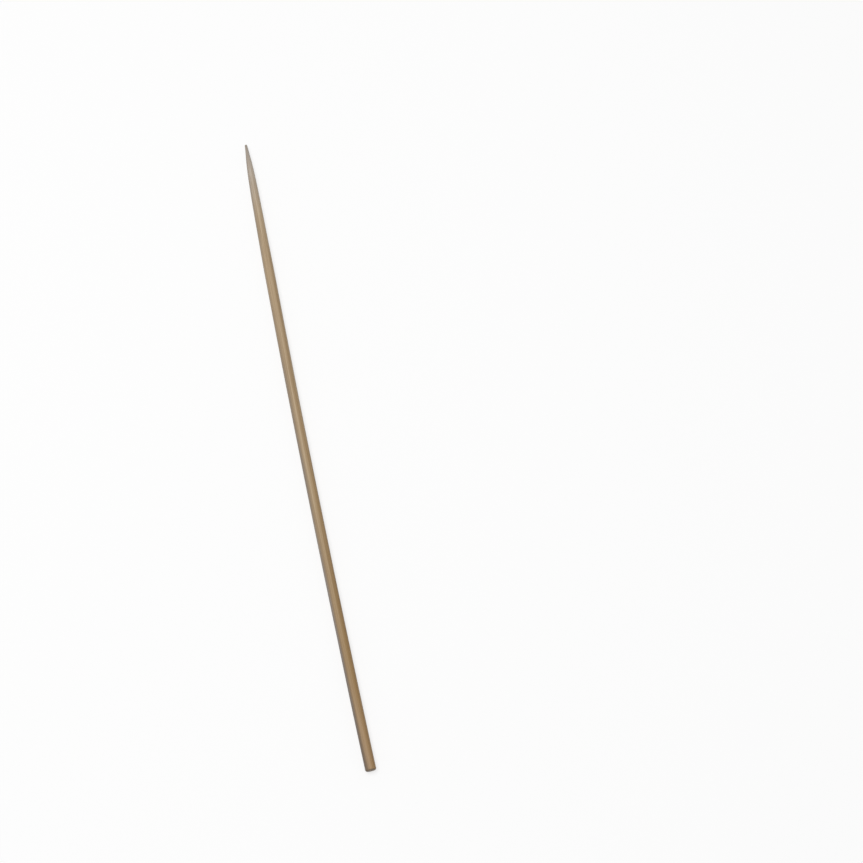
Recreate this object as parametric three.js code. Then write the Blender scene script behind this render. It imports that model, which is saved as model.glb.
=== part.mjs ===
// Wooden skewer: one round bamboo stick, ground to a long point at one end and cut square at the other.
// Millimetres, +Z up. The stick lies along X on the plane z = 0, with its point toward +X.
// The origin is under the middle of its length. It bows sideways, toward +Y, so that it lies flat.

import * as THREE from 'three';

// Driving dimensions
const LENGTH = 180; // from the blunt face to the very tip
const DIAMETER = 2.8; // of the round shaft
const POINT_LENGTH = 42; // of the ground end, from its shoulder on the shaft to the tip
const TIP_RADIUS = 0.34; // of the small round nose that the grinding leaves
const TIP_HALF_ANGLE = THREE.MathUtils.degToRad(4); // between the axis and the flank beside the nose
const RIM_RADIUS = 0.45; // of the eased edge round the blunt face
const BOW = 0.75; // how far the middle stands off the line between the two ends

// Curvature of the ground flank
const TIP_STRAIGHTNESS = 0.47; // share of the flank's rise that its straight start aims at
const SHOULDER_SOFTNESS = 0.8; // share of the point's length that eases into the shaft

// Fineness of the surface
const SIDES = 32;
const SHAFT_STEPS = 12;
const FLANK_STEPS = 18;
const NOSE_STEPS = 4;
const RIM_STEPS = 3;

const RADIUS = DIAMETER / 2;
const SHOULDER = LENGTH - POINT_LENGTH;

// The outlines below run from the blunt end to the tip: x is the radius and y the way along the stick.

// The cut face, from the axis out, and the quarter round onto the side
function bluntEnd() {
  const inner = RADIUS - RIM_RADIUS;
  const rim = new THREE.EllipseCurve(inner, RIM_RADIUS, RIM_RADIUS, RIM_RADIUS, -Math.PI / 2, 0);
  return [new THREE.Vector2(0, 0), ...rim.getPoints(RIM_STEPS)];
}

// The shaft has steps along it, so that it can bow smoothly
function shaft() {
  const side = new THREE.LineCurve(
    new THREE.Vector2(RADIUS, RIM_RADIUS),
    new THREE.Vector2(RADIUS, SHOULDER),
  );
  return side.getPoints(SHAFT_STEPS).slice(1);
}

// The flank leaves the shaft along its side and meets the nose at the tip's angle, in one full curve
function flank() {
  const noseRadius = TIP_RADIUS * Math.cos(TIP_HALF_ANGLE);
  const noseStart = LENGTH - TIP_RADIUS * (1 - Math.sin(TIP_HALF_ANGLE));
  const rise = TIP_STRAIGHTNESS * (RADIUS - noseRadius);
  const curve = new THREE.CubicBezierCurve(
    new THREE.Vector2(RADIUS, SHOULDER),
    new THREE.Vector2(RADIUS, SHOULDER + SHOULDER_SOFTNESS * POINT_LENGTH),
    new THREE.Vector2(noseRadius + rise, noseStart - rise / Math.tan(TIP_HALF_ANGLE)),
    new THREE.Vector2(noseRadius, noseStart),
  );
  return curve.getPoints(FLANK_STEPS).slice(1);
}

// The nose is part of a ball, tangent to the flank, and closes on the axis
function nose() {
  const ball = new THREE.EllipseCurve(
    0, LENGTH - TIP_RADIUS, TIP_RADIUS, TIP_RADIUS, TIP_HALF_ANGLE, Math.PI / 2,
  );
  return [...ball.getPoints(NOSE_STEPS).slice(1, -1), new THREE.Vector2(0, LENGTH)];
}

// The stick, turned about its axis, with the middle of a facet at the top and bottom
function turnedStick() {
  const outline = [...bluntEnd(), ...shaft(), ...flank(), ...nose()];
  const halfFacet = Math.PI / SIDES;
  const geometry = new THREE.LatheGeometry(outline, SIDES, halfFacet);
  geometry.rotateZ(-Math.PI / 2);
  geometry.translate(-LENGTH / 2, 0, RADIUS * Math.cos(halfFacet));
  return geometry;
}

// Each section slides sideways and stays square to X, so the blunt face stays a plane
function bow(geometry) {
  const position = geometry.attributes.position;
  for (let i = 0; i < position.count; i += 1) {
    const along = position.getX(i) / (LENGTH / 2);
    position.setY(i, position.getY(i) + BOW * (0.5 - along * along));
  }
  geometry.computeVertexNormals();
  return geometry;
}

function skewer() {
  const bamboo = new THREE.MeshStandardMaterial({ color: 0xac9676, roughness: 0.6, metalness: 0 });
  const mesh = new THREE.Mesh(bow(turnedStick()), bamboo);
  mesh.name = 'skewer';
  return mesh;
}

const part = new THREE.Group();
part.add(skewer());

export default part;
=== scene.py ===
"""A wooden skewer: one round bamboo stick with a long ground point, lying on a pale floor."""
import math

import bmesh
import bpy
import numpy as np
from bpy.props import FloatProperty, FloatVectorProperty, IntProperty, PointerProperty
from bpy.types import Operator, Panel, PropertyGroup
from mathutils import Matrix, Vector


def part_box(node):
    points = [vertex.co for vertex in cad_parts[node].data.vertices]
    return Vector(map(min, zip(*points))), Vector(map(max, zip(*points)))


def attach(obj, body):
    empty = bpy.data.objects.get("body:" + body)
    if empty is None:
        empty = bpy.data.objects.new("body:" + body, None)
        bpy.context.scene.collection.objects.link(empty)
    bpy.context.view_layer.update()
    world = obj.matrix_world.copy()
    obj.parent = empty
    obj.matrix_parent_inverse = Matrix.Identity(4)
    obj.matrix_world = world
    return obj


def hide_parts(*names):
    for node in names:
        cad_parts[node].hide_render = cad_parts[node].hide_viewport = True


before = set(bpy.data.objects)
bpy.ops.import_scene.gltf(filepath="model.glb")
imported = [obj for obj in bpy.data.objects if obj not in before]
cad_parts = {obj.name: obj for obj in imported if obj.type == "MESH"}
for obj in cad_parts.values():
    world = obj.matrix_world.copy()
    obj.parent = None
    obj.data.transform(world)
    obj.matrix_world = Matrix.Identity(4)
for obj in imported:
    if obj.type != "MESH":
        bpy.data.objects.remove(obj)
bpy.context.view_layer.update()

bl_info = {
    "name": "Wooden Skewer",
    "version": (1, 0, 0),
    "blender": (4, 5, 0),
    "location": "3D View > Sidebar > Skewer",
    "description": "Models a round bamboo skewer and the stage it lies on",
    "category": "Add Mesh",
}

MM = 0.001
NODE = "skewer"
BODY = "root"
STICK = "skewer_stick"
GRAIN = "grain"

# Lengths over which the surface rises and falls: along, across and up
FIBRE_CELL = (22 * MM, 0.28 * MM, 0.28 * MM)
TURNING_CELL = (16 * MM, 1.6 * MM, 1.6 * MM)

# Cells of the grain's patterns in one metre: along, across and up
BUNDLE_CELLS = (14.0, 3000.0, 3000.0)
STREAK_CELLS = (30.0, 5200.0, 5200.0)
HAIR_CELLS = (90.0, 15000.0, 15000.0)
PATCH_CELLS = (28.0, 420.0, 420.0)

BUMP_HEIGHT = 0.03 * MM
SHARP_EDGE = math.radians(35)
SENSOR_WIDTH = 36.0  # in millimetres, as the lens is

node_low, node_high = (Vector(corner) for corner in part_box(NODE))
node_size = node_high - node_low


def metres(name, description, default, least=0.0):
    """A length property in metres."""
    return FloatProperty(
        name=name, description=description, default=default, min=least, unit="LENGTH", precision=6,
    )


def fraction(name, description, default):
    """A property from 0 to 1."""
    return FloatProperty(
        name=name, description=description, default=default, min=0.0, max=1.0, subtype="FACTOR",
    )


def degrees(name, description, default):
    """An angle property, with its default given in degrees."""
    return FloatProperty(
        name=name, description=description, default=math.radians(default), subtype="ANGLE",
    )


def point(name, description, default):
    """A point in metres."""
    return FloatVectorProperty(
        name=name, description=description, default=default, subtype="TRANSLATION", unit="LENGTH",
        precision=5,
    )


def whole(name, description, default, least):
    """A number of steps, rings or sides."""
    return IntProperty(name=name, description=description, default=default, min=least)


class SkewerSizes(PropertyGroup):
    """Sizes of the stick. The overall ones come from the frame."""

    length: metres("Length", "From the blunt face to the very tip", node_size.x, 10 * MM)
    diameter: metres("Diameter", "Across the round shaft", node_size.z, 0.5 * MM)
    bow: metres(
        "Bow", "How far the middle stands off the line between the two ends",
        node_size.y - node_size.z,
    )
    point_length: metres("Point Length", "From the shoulder on the shaft to the tip", 42 * MM, MM)
    tip_radius: metres(
        "Tip Radius", "Of the small round nose that the grinding leaves", 0.34 * MM, 0.05 * MM,
    )
    tip_half_angle: degrees("Tip Half Angle", "Between the axis and the flank beside the nose", 4)
    tip_straightness: fraction(
        "Tip Straightness", "Share of the flank's rise that its straight start aims at", 0.47,
    )
    shoulder_softness: fraction(
        "Shoulder Softness", "Share of the point's length that eases into the shaft", 0.8,
    )
    flank_dip: metres(
        "Flank Dip", "How far the grinding dips below the even curve of the flank", 0.09 * MM,
    )
    flank_dip_lean: FloatProperty(
        name="Flank Dip Lean", description="Above 1 it moves the dip toward the shoulder",
        default=1.3, min=0.1,
    )
    rim_radius: metres("Rim Radius", "Of the eased edge round the blunt face", 0.45 * MM)
    fibre_relief: metres(
        "Fibre Relief", "Height of the shallow ridges that the fibres leave along the stick",
        0.022 * MM,
    )
    turning_relief: metres(
        "Turning Relief", "Height of the slow unevenness left by the turning", 0.035 * MM,
    )


class SkewerFineness(PropertyGroup):
    """How finely the stick's surface is divided."""

    sides: whole("Sides", "Faces round the stick", 128, 16)
    shaft_steps: whole("Shaft Steps", "Rings along the shaft", 250, 4)
    flank_steps: whole("Flank Steps", "Rings along the ground flank", 70, 4)
    nose_steps: whole("Nose Steps", "Rings round the nose", 7, 2)
    rim_steps: whole("Rim Steps", "Rings round the eased rim", 5, 1)
    face_rings: whole("Face Rings", "Inset rings on the blunt face", 14, 2)


def colour(name, description, rgb):
    """A colour property, given as the sRGB values that a colour picker shows, from 0 to 255."""
    return FloatVectorProperty(
        name=name, description=description, subtype="COLOR_GAMMA", size=3, min=0.0, max=1.0,
        default=tuple(channel / 255 for channel in rgb),
    )


class SkewerFinish(PropertyGroup):
    """Colours of the bamboo, with painted sheen and painted shade on the two sides of the stick."""

    butt: colour("Butt", "The ground tissue between the fibres, at the blunt end", (168, 138, 102))
    lower: colour("Lower Shaft", "The same tissue on the lower shaft, the brownest", (158, 129, 87))
    shaft: colour("Shaft", "The same tissue half way along the shaft", (171, 147, 112))
    shoulder: colour("Shoulder", "The same tissue where the grinding starts", (179, 156, 124))
    flank: colour("Flank", "The same tissue on the ground flank", (184, 164, 135))
    point: colour("Point", "The same tissue near the tip, ground deepest", (188, 177, 163))
    tip: colour("Tip", "The same tissue at the very tip", (164, 159, 152))
    # The grey band on the upper +Y side is partly the greyer pith side and partly painted sheen
    # with painted shade at its edge, darkest at the butt
    pith_sheen_shade_butt: colour("Pith Butt", "The greyer band along one side, at the butt", (101, 91, 84))
    pith_sheen_shade_low: colour("Pith Low", "The same band a little above the blunt end", (113, 108, 104))
    pith_sheen_shade_mid: colour("Pith Middle", "The same band on the lower shaft, its palest", (128, 127, 129))
    pith_sheen_shade: colour("Pith", "The same band on the rest of the stick", (109, 108, 110))
    # The brown colour on the -Y side is partly the browner rind and partly painted shade on the
    # side away from the lamp
    rind_and_shade: colour("Rind", "The browner side that lay under the skin of the cane", (149, 115, 68))
    fibre: colour("Fibre", "The darker fibre bundles", (130, 101, 64))
    cut: colour("Cut Face", "The ground tissue on the blunt face", (118, 100, 80))
    pore: colour("Pore", "The cut fibre bundles, dots on the blunt face", (64, 48, 34))


class SkewerStage(PropertyGroup):
    """Camera, lamp, sky and floor."""

    camera_place: point("Camera Place", "Where the camera stands", (-0.15955, -0.00091, 0.43435))
    camera_heading: degrees(
        "Camera Heading", "Clockwise from the stick to the view, seen from above", 12.036,
    )
    camera_height_angle: degrees("Camera Height Angle", "How steeply the camera looks down", 70)
    lens: FloatProperty(
        name="Lens", description="Focal length in millimetres", default=72.242, min=1.0,
    )
    lamp_place: point("Lamp Place", "Middle of the large soft lamp", (0.1, 0.2, 1.1))
    lamp_size: metres("Lamp Size", "Diameter of the large soft lamp", 0.8, 0.01)
    lamp_power: FloatProperty(
        name="Lamp Power", description="Watts of the large soft lamp", default=9.1, min=0.0,
    )
    sky_strength: FloatProperty(
        name="Sky Strength", description="Even white light all round", default=0.38, min=0.0,
    )
    floor: colour("Floor", "The pale floor", (246, 246, 246))
    floor_size: metres("Floor Size", "Side of the square floor", 6.0, 1.0)
    floor_glow: fraction("Floor Glow", "How far the floor is plain white to the camera", 0.7)


def only_faces_selected(test):
    """Selects the faces of the mesh in edit mode whose centre passes the test."""
    mesh = bpy.context.edit_object.data
    edit = bmesh.from_edit_mesh(mesh)
    bpy.ops.mesh.select_all(action="DESELECT")
    for face in edit.faces:
        if test(face.calc_center_median()):
            face.select_set(True)
    if not any(face.select for face in edit.faces):
        raise RuntimeError("No face of the mesh passes the test")
    edit.select_flush_mode()
    bmesh.update_edit_mesh(mesh)


def bezier(a, b, c, d, steps):
    """Points of a cubic curve, after its first one."""
    for step in range(1, steps + 1):
        t = step / steps
        s = 1 - t
        yield s ** 3 * a + 3 * s * s * t * b + 3 * s * t * t * c + t ** 3 * d


def outline(sizes, fineness):
    """Rings of the stick after its first, from the blunt end to the nose: way along and radius."""
    radius = sizes.diameter / 2
    shoulder = sizes.length - sizes.point_length
    for step in range(1, fineness.shaft_steps + 1):
        yield shoulder * step / fineness.shaft_steps, radius
    slope = sizes.tip_half_angle
    nose = Vector((
        sizes.length - sizes.tip_radius * (1 - math.sin(slope)),
        sizes.tip_radius * math.cos(slope),
    ))
    rise = sizes.tip_straightness * (radius - nose.y)
    flank = bezier(
        Vector((shoulder, radius)),
        Vector((shoulder + sizes.shoulder_softness * sizes.point_length, radius)),
        Vector((nose.x - rise / math.tan(slope), nose.y + rise)),
        nose,
        fineness.flank_steps,
    )
    # The dip is deepest half way along the point, or nearer to the shoulder by its lean
    for ring in flank:
        way = ((sizes.length - ring.x) / sizes.point_length) ** sizes.flank_dip_lean
        yield ring.x, ring.y - sizes.flank_dip * math.sin(math.pi * way) ** 2
    for step in range(1, fineness.nose_steps):
        turn = slope + (math.pi / 2 - slope) * step / fineness.nose_steps
        yield (
            sizes.length - sizes.tip_radius * (1 - math.sin(turn)),
            sizes.tip_radius * math.cos(turn),
        )


def straight_stick(sizes, fineness):
    """A disc at the blunt end, drawn out along X to a closed nose. Stays in edit mode."""
    radius = sizes.diameter / 2
    start = Vector((node_low.x, 0.0, node_low.z + radius))
    bpy.ops.object.select_all(action="DESELECT")
    bpy.ops.mesh.primitive_circle_add(
        vertices=fineness.sides, radius=radius, fill_type="NGON",
        location=start, rotation=(0.0, -math.pi / 2, 0.0),
    )
    stick = bpy.context.object
    stick.name = stick.data.name = STICK
    bpy.ops.object.transform_apply(location=True, rotation=True, scale=True)
    bpy.ops.object.mode_set(mode="EDIT")
    bpy.ops.mesh.select_all(action="SELECT")
    along, width = 0.0, radius
    for ring_along, ring_radius in outline(sizes, fineness):
        bpy.ops.mesh.extrude_region_move(
            TRANSFORM_OT_translate={"value": (ring_along - along, 0.0, 0.0)},
        )
        if ring_radius != width:
            bpy.ops.transform.resize(
                value=(1.0, ring_radius / width, ring_radius / width),
                center_override=start + Vector((ring_along, 0.0, 0.0)),
            )
        along, width = ring_along, ring_radius
    bpy.ops.mesh.extrude_region_move(
        TRANSFORM_OT_translate={"value": (sizes.length - along, 0.0, 0.0)},
    )
    bpy.ops.mesh.merge(type="COLLAPSE")
    return stick


def shape_blunt_end(sizes, fineness):
    """Eases the rim of the cut face and divides the face into rings, closed at its centre."""
    radius = sizes.diameter / 2
    just_past_face = node_low.x + 0.001 * MM

    def on_cut_face(centre):
        return centre.x < just_past_face

    only_faces_selected(on_cut_face)
    bpy.ops.mesh.region_to_loop()
    bpy.ops.mesh.bevel(offset=sizes.rim_radius, segments=fineness.rim_steps, affect="EDGES")
    only_faces_selected(on_cut_face)
    flat = radius - sizes.rim_radius
    for _ in range(fineness.face_rings):
        bpy.ops.mesh.inset(thickness=flat / (fineness.face_rings + 1))
    bpy.ops.mesh.poke()


def remember_grain(stick):
    """Keeps the straight stick's coordinates, so that the grain follows the bow."""
    mesh = stick.data
    place = np.empty(len(mesh.vertices) * 3, dtype=np.float32)
    mesh.vertices.foreach_get("co", place)
    mesh.attributes.new(GRAIN, "FLOAT_VECTOR", "POINT").data.foreach_set("vector", place)


def relief(stick, name, height, cell, depth):
    """Pushes the surface in and out by a cloud pattern whose cells have the given size."""
    clouds = bpy.data.textures.new(name, "CLOUDS")
    clouds.noise_scale = 1.0
    clouds.noise_depth = depth
    guide = bpy.data.objects.new(name, None)
    guide.scale = cell
    bpy.context.collection.objects.link(guide)
    bpy.context.view_layer.update()
    push = stick.modifiers.new(name, "DISPLACE")
    push.texture = clouds
    push.texture_coords = "OBJECT"
    push.texture_coords_object = guide
    push.strength = height
    push.mid_level = 0.5
    bpy.ops.object.modifier_apply(modifier=push.name)
    bpy.data.objects.remove(guide)
    bpy.data.textures.remove(clouds)


def bow(stick, sizes):
    """Bends the stick sideways to a shallow arc, its ends toward -Y and its middle toward +Y."""
    bend = stick.modifiers.new("bow", "SIMPLE_DEFORM")
    bend.deform_method = "BEND"
    bend.deform_axis = "Z"
    # A shallow arc turns by eight times the height that it stands off its chord, over its length
    bend.angle = -8 * sizes.bow / sizes.length
    bpy.ops.object.modifier_apply(modifier=bend.name)
    stick.location.y = sizes.bow / 2
    bpy.ops.object.transform_apply(location=True)


class SKEWER_OT_stick(Operator):
    """Model the bamboo stick: shaft, ground point, eased blunt end, fibre relief and bow"""

    bl_idname = "skewer.stick"
    bl_label = "Stick"

    def execute(self, context):
        sizes, fineness = context.scene.skewer_sizes, context.scene.skewer_fineness
        stick = straight_stick(sizes, fineness)
        shape_blunt_end(sizes, fineness)
        bpy.ops.mesh.select_all(action="SELECT")
        bpy.ops.mesh.normals_make_consistent(inside=False)
        bpy.ops.object.mode_set(mode="OBJECT")
        remember_grain(stick)
        relief(stick, "fibre_relief", sizes.fibre_relief, FIBRE_CELL, 1)
        relief(stick, "turning_relief", sizes.turning_relief, TURNING_CELL, 0)
        bow(stick, sizes)
        bpy.ops.object.shade_smooth_by_angle(angle=SHARP_EDGE)
        stick.data.materials.append(bamboo(context.scene.skewer_finish))
        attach(stick, BODY)
        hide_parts(NODE)
        return {"FINISHED"}


def linear(srgb):
    """The colour that a shader socket takes for an sRGB colour."""
    channels = [c / 12.92 if c <= 0.04045 else ((c + 0.055) / 1.055) ** 2.4 for c in srgb]
    return (*channels, 1.0)


class Nodes:
    """Adds nodes to one material and links them."""

    def __init__(self, material):
        material.use_nodes = True
        self.tree = material.node_tree
        self.tree.nodes.clear()

    def add(self, kind, inputs=None, **settings):
        """A node with its settings, whose inputs are values or other nodes' outputs."""
        node = self.tree.nodes.new(kind)
        for name, value in settings.items():
            setattr(node, name, value)
        for socket, value in (inputs or {}).items():
            if isinstance(value, bpy.types.NodeSocket):
                self.tree.links.new(value, node.inputs[socket])
            else:
                node.inputs[socket].default_value = value
        return node

    def maths(self, operation, a, b, c=0.0, clamp=False):
        node = self.add("ShaderNodeMath", {0: a, 1: b, 2: c}, operation=operation, use_clamp=clamp)
        return node.outputs[0]

    def scaled(self, vector, scale):
        return self.add("ShaderNodeMapping", {"Vector": vector, "Scale": scale}).outputs[0]

    def noise(self, vector, scale, detail, roughness):
        place = self.scaled(vector, scale)
        inputs = {"Vector": place, "Scale": 1.0, "Detail": detail, "Roughness": roughness}
        return self.add("ShaderNodeTexNoise", inputs).outputs["Fac"]

    def ramp(self, value, low, high, out_low=0.0, out_high=1.0, kind="SMOOTHSTEP"):
        """Turns the value from its low to its high into one between the two outputs."""
        inputs = {
            "Value": value, "From Min": low, "From Max": high,
            "To Min": out_low, "To Max": out_high,
        }
        return self.add("ShaderNodeMapRange", inputs, interpolation_type=kind).outputs[0]

    def blend(self, share, under, over):
        """The colour under, with the share of the colour over it."""
        return self.add("ShaderNodeMix", {0: share, 6: under, 7: over}, data_type="RGBA").outputs[2]


def tones_along(nodes, along, stops):
    """A colour that changes along the stick, with stops from 0 at the blunt end to 1 at the tip."""
    way = nodes.ramp(along, node_low.x, node_high.x, kind="LINEAR")
    tones = nodes.add("ShaderNodeValToRGB", {"Fac": way})
    for stop, tone in stops[1:-1]:
        tones.color_ramp.elements.new(stop)
    for element, (stop, tone) in zip(tones.color_ramp.elements, stops):
        element.position, element.color = stop, linear(tone)
    return tones.outputs["Color"]


def tissue_colour(nodes, finish, grain, patches):
    """The ground tissue between the fibres, which differs along the stick, with a grey band on the
    upper +Y side that is partly pith and partly painted sheen and shade, and a -Y side that is
    partly rind and partly painted shade.
    """
    spot = nodes.add("ShaderNodeSeparateXYZ", {0: grain}).outputs
    along, across, up = spot["X"], spot["Y"], spot["Z"]
    tissue = tones_along(nodes, along, (
        (0.02, finish.butt), (0.16, finish.lower), (0.4, finish.shaft), (0.77, finish.shoulder),
        (0.87, finish.flank), (0.95, finish.point), (1.0, finish.tip),
    ))
    # Tones along the grey band: partly pith, partly painted sheen and painted edge shade
    pith_sheen_shade = tones_along(nodes, along, (
        (0.03, finish.pith_sheen_shade_butt), (0.11, finish.pith_sheen_shade_low), (0.23, finish.pith_sheen_shade_mid),
        (0.42, finish.pith_sheen_shade),
    ))

    # The upper +Y side takes pith and painted sheen and shade, the -Y side rind and painted shade.
    # The edges of both sides wander by the patches, and both fade where the skin is ground away
    wander = nodes.maths("MULTIPLY_ADD", patches, 1.2 * MM, -0.6 * MM)
    across = nodes.maths("ADD", across, wander)
    pith_sheen_shade_left, pith_sheen_shade_up = nodes.ramp(across, 0.1 * MM, 1.3 * MM), nodes.ramp(up, 0.3 * MM, 1.5 * MM)
    pith_sheen_shade_depth = nodes.ramp(along, -85 * MM, 60 * MM, 1.0, 0.35)
    pith_sheen_shade_share = nodes.maths("MULTIPLY", nodes.maths("MULTIPLY", pith_sheen_shade_left, pith_sheen_shade_up), pith_sheen_shade_depth)
    rind_shade_right = nodes.ramp(across, -1.2 * MM, -0.1 * MM, 1.0, 0.0)
    rind_shade_depth = nodes.ramp(along, -60 * MM, 30 * MM, 0.8, 0.2)
    rind_shade_share = nodes.maths("MULTIPLY", rind_shade_right, rind_shade_depth)
    # Painted sheen and shade over the +Y band, then rind and painted shade over the -Y side
    flesh_and_painted_sides = nodes.blend(pith_sheen_shade_share, tissue, pith_sheen_shade)
    return nodes.blend(rind_shade_share, flesh_and_painted_sides, linear(finish.rind_and_shade)), along


def bamboo(finish):
    """Pale tissue with darker fibre bundles along the stick, which are dots on the cut face."""
    material = bpy.data.materials.new("bamboo")
    nodes = Nodes(material)
    grain = nodes.add(
        "ShaderNodeAttribute", attribute_type="GEOMETRY", attribute_name=GRAIN,
    ).outputs["Vector"]
    bundles = nodes.add(
        "ShaderNodeTexVoronoi", {"Vector": nodes.scaled(grain, BUNDLE_CELLS), "Scale": 1.0},
        feature="F1",
    ).outputs["Distance"]
    streaks = nodes.noise(grain, STREAK_CELLS, 3.0, 0.6)
    hairs = nodes.noise(grain, HAIR_CELLS, 2.0, 0.6)
    patches = nodes.noise(grain, PATCH_CELLS, 1.0, 0.5)
    flesh_and_painted_sides, along = tissue_colour(nodes, finish, grain, patches)

    # Bundles of fibre, fine streaks and finer hairs all run along the stick
    bundle = nodes.ramp(bundles, 0.14, 0.34, 1.0, 0.0)
    fibre_share = nodes.maths("MULTIPLY", bundle, nodes.ramp(patches, 0.3, 0.7, 0.2, 0.55))
    streak_share = nodes.ramp(streaks, 0.44, 0.64, 0.0, 0.42)
    hair_share = nodes.ramp(hairs, 0.46, 0.64, 0.0, 0.28)
    body = nodes.blend(fibre_share, flesh_and_painted_sides, linear(finish.fibre))
    body = nodes.blend(streak_share, body, linear(finish.fibre))
    body = nodes.blend(hair_share, body, linear(finish.fibre))

    # The blunt face shows the same bundles end on, and so does the start of its rim
    pore_share = nodes.ramp(bundles, 0.16, 0.34, 0.9, 0.0)
    end_grain = nodes.blend(pore_share, linear(finish.cut), linear(finish.pore))
    cut_share = nodes.ramp(along, node_low.x + 0.1 * MM, node_low.x + 0.4 * MM, 0.95, 0.0)
    body = nodes.blend(cut_share, body, end_grain)

    height = nodes.maths("MULTIPLY_ADD", hairs, 0.6, streaks)
    bump = nodes.add(
        "ShaderNodeBump", {"Height": height, "Strength": 0.5, "Distance": BUMP_HEIGHT},
    ).outputs[0]
    roughness = nodes.ramp(streaks, 0.35, 0.65, 0.42, 0.62)
    shader = nodes.add(
        "ShaderNodeBsdfPrincipled",
        {"Base Color": body, "Roughness": roughness, "Normal": bump, "Specular IOR Level": 0.45},
    )
    nodes.add("ShaderNodeOutputMaterial", {"Surface": shader.outputs[0]})
    return material


def floor_material(stage):
    """A pale floor that keeps shadows, and shows nearly white to the camera and in reflections."""
    material = bpy.data.materials.new("floor")
    nodes = Nodes(material)
    lit = nodes.add(
        "ShaderNodeBsdfPrincipled", {"Base Color": linear(stage.floor), "Roughness": 0.9},
    )
    white = nodes.add("ShaderNodeEmission", {"Color": (1.0, 1.0, 1.0, 1.0), "Strength": 1.0})
    ray = nodes.add("ShaderNodeLightPath").outputs
    seen = nodes.maths("ADD", ray["Is Camera Ray"], ray["Is Glossy Ray"], clamp=True)
    glow = nodes.maths("MULTIPLY", seen, stage.floor_glow)
    mix = nodes.add("ShaderNodeMixShader", {0: glow, 1: lit.outputs[0], 2: white.outputs[0]})
    nodes.add("ShaderNodeOutputMaterial", {"Surface": mix.outputs[0]})
    return material


def add_floor(stage):
    """A wide floor at the height that the stick lies on."""
    bpy.ops.object.select_all(action="DESELECT")
    bpy.ops.mesh.primitive_plane_add(size=stage.floor_size, location=(0.0, 0.0, node_low.z))
    floor = bpy.context.object
    floor.name = floor.data.name = "floor"
    bpy.ops.object.transform_apply(location=True)
    floor.data.materials.append(floor_material(stage))


def add_camera(stage):
    """A level camera: it is turned about Z and tipped down, and never rolled."""
    down, heading = stage.camera_height_angle, stage.camera_heading
    bpy.ops.object.camera_add(
        location=stage.camera_place,
        rotation=(math.pi / 2 - down, 0.0, -math.pi / 2 - heading),
    )
    camera = bpy.context.object
    camera.name = "camera"
    camera.data.lens = stage.lens
    camera.data.sensor_width = SENSOR_WIDTH
    bpy.context.scene.camera = camera


def add_lights(stage):
    """One large soft lamp overhead, a little toward the bow's side, and white light all round."""
    place = Vector(stage.lamp_place)
    bpy.ops.object.light_add(type="AREA", location=place)
    lamp = bpy.context.object
    lamp.name = "soft_lamp"
    lamp.data.shape = "DISK"
    lamp.data.size = stage.lamp_size
    lamp.data.energy = stage.lamp_power
    lamp.rotation_euler = (-place).to_track_quat("-Z", "Y").to_euler()
    world = bpy.data.worlds.new("sky")
    world.use_nodes = True
    background = world.node_tree.nodes["Background"]
    background.inputs["Color"].default_value = (1.0, 1.0, 1.0, 1.0)
    background.inputs["Strength"].default_value = stage.sky_strength
    bpy.context.scene.world = world


class SKEWER_OT_stage(Operator):
    """Set up the camera, the soft light and the pale floor"""

    bl_idname = "skewer.stage"
    bl_label = "Stage"

    def execute(self, context):
        stage = context.scene.skewer_stage
        add_camera(stage)
        add_floor(stage)
        add_lights(stage)
        context.scene.view_settings.view_transform = "Standard"
        return {"FINISHED"}


class SKEWER_PT_sidebar(Panel):
    """Lists the operators and their settings"""

    bl_idname = "SKEWER_PT_sidebar"
    bl_label = "Wooden Skewer"
    bl_space_type = "VIEW_3D"
    bl_region_type = "UI"
    bl_category = "Skewer"

    def draw(self, context):
        layout = self.layout
        for operator in (SKEWER_OT_stick, SKEWER_OT_stage):
            layout.operator(operator.bl_idname)
        for name in GROUPS:
            group = getattr(context.scene, name)
            box = layout.box()
            for key in group.bl_rna.properties.keys():
                if key not in {"rna_type", "name"}:
                    box.prop(group, key)


GROUPS = {
    "skewer_sizes": SkewerSizes,
    "skewer_fineness": SkewerFineness,
    "skewer_finish": SkewerFinish,
    "skewer_stage": SkewerStage,
}
CLASSES = (*GROUPS.values(), SKEWER_OT_stick, SKEWER_OT_stage, SKEWER_PT_sidebar)


def register():
    for cls in CLASSES:
        bpy.utils.register_class(cls)
    for name, group in GROUPS.items():
        setattr(bpy.types.Scene, name, PointerProperty(type=group))


def unregister():
    for name in GROUPS:
        delattr(bpy.types.Scene, name)
    for cls in reversed(CLASSES):
        bpy.utils.unregister_class(cls)


def main():
    register()
    bpy.ops.skewer.stick()
    bpy.ops.skewer.stage()


if __name__ == "__main__":
    main()
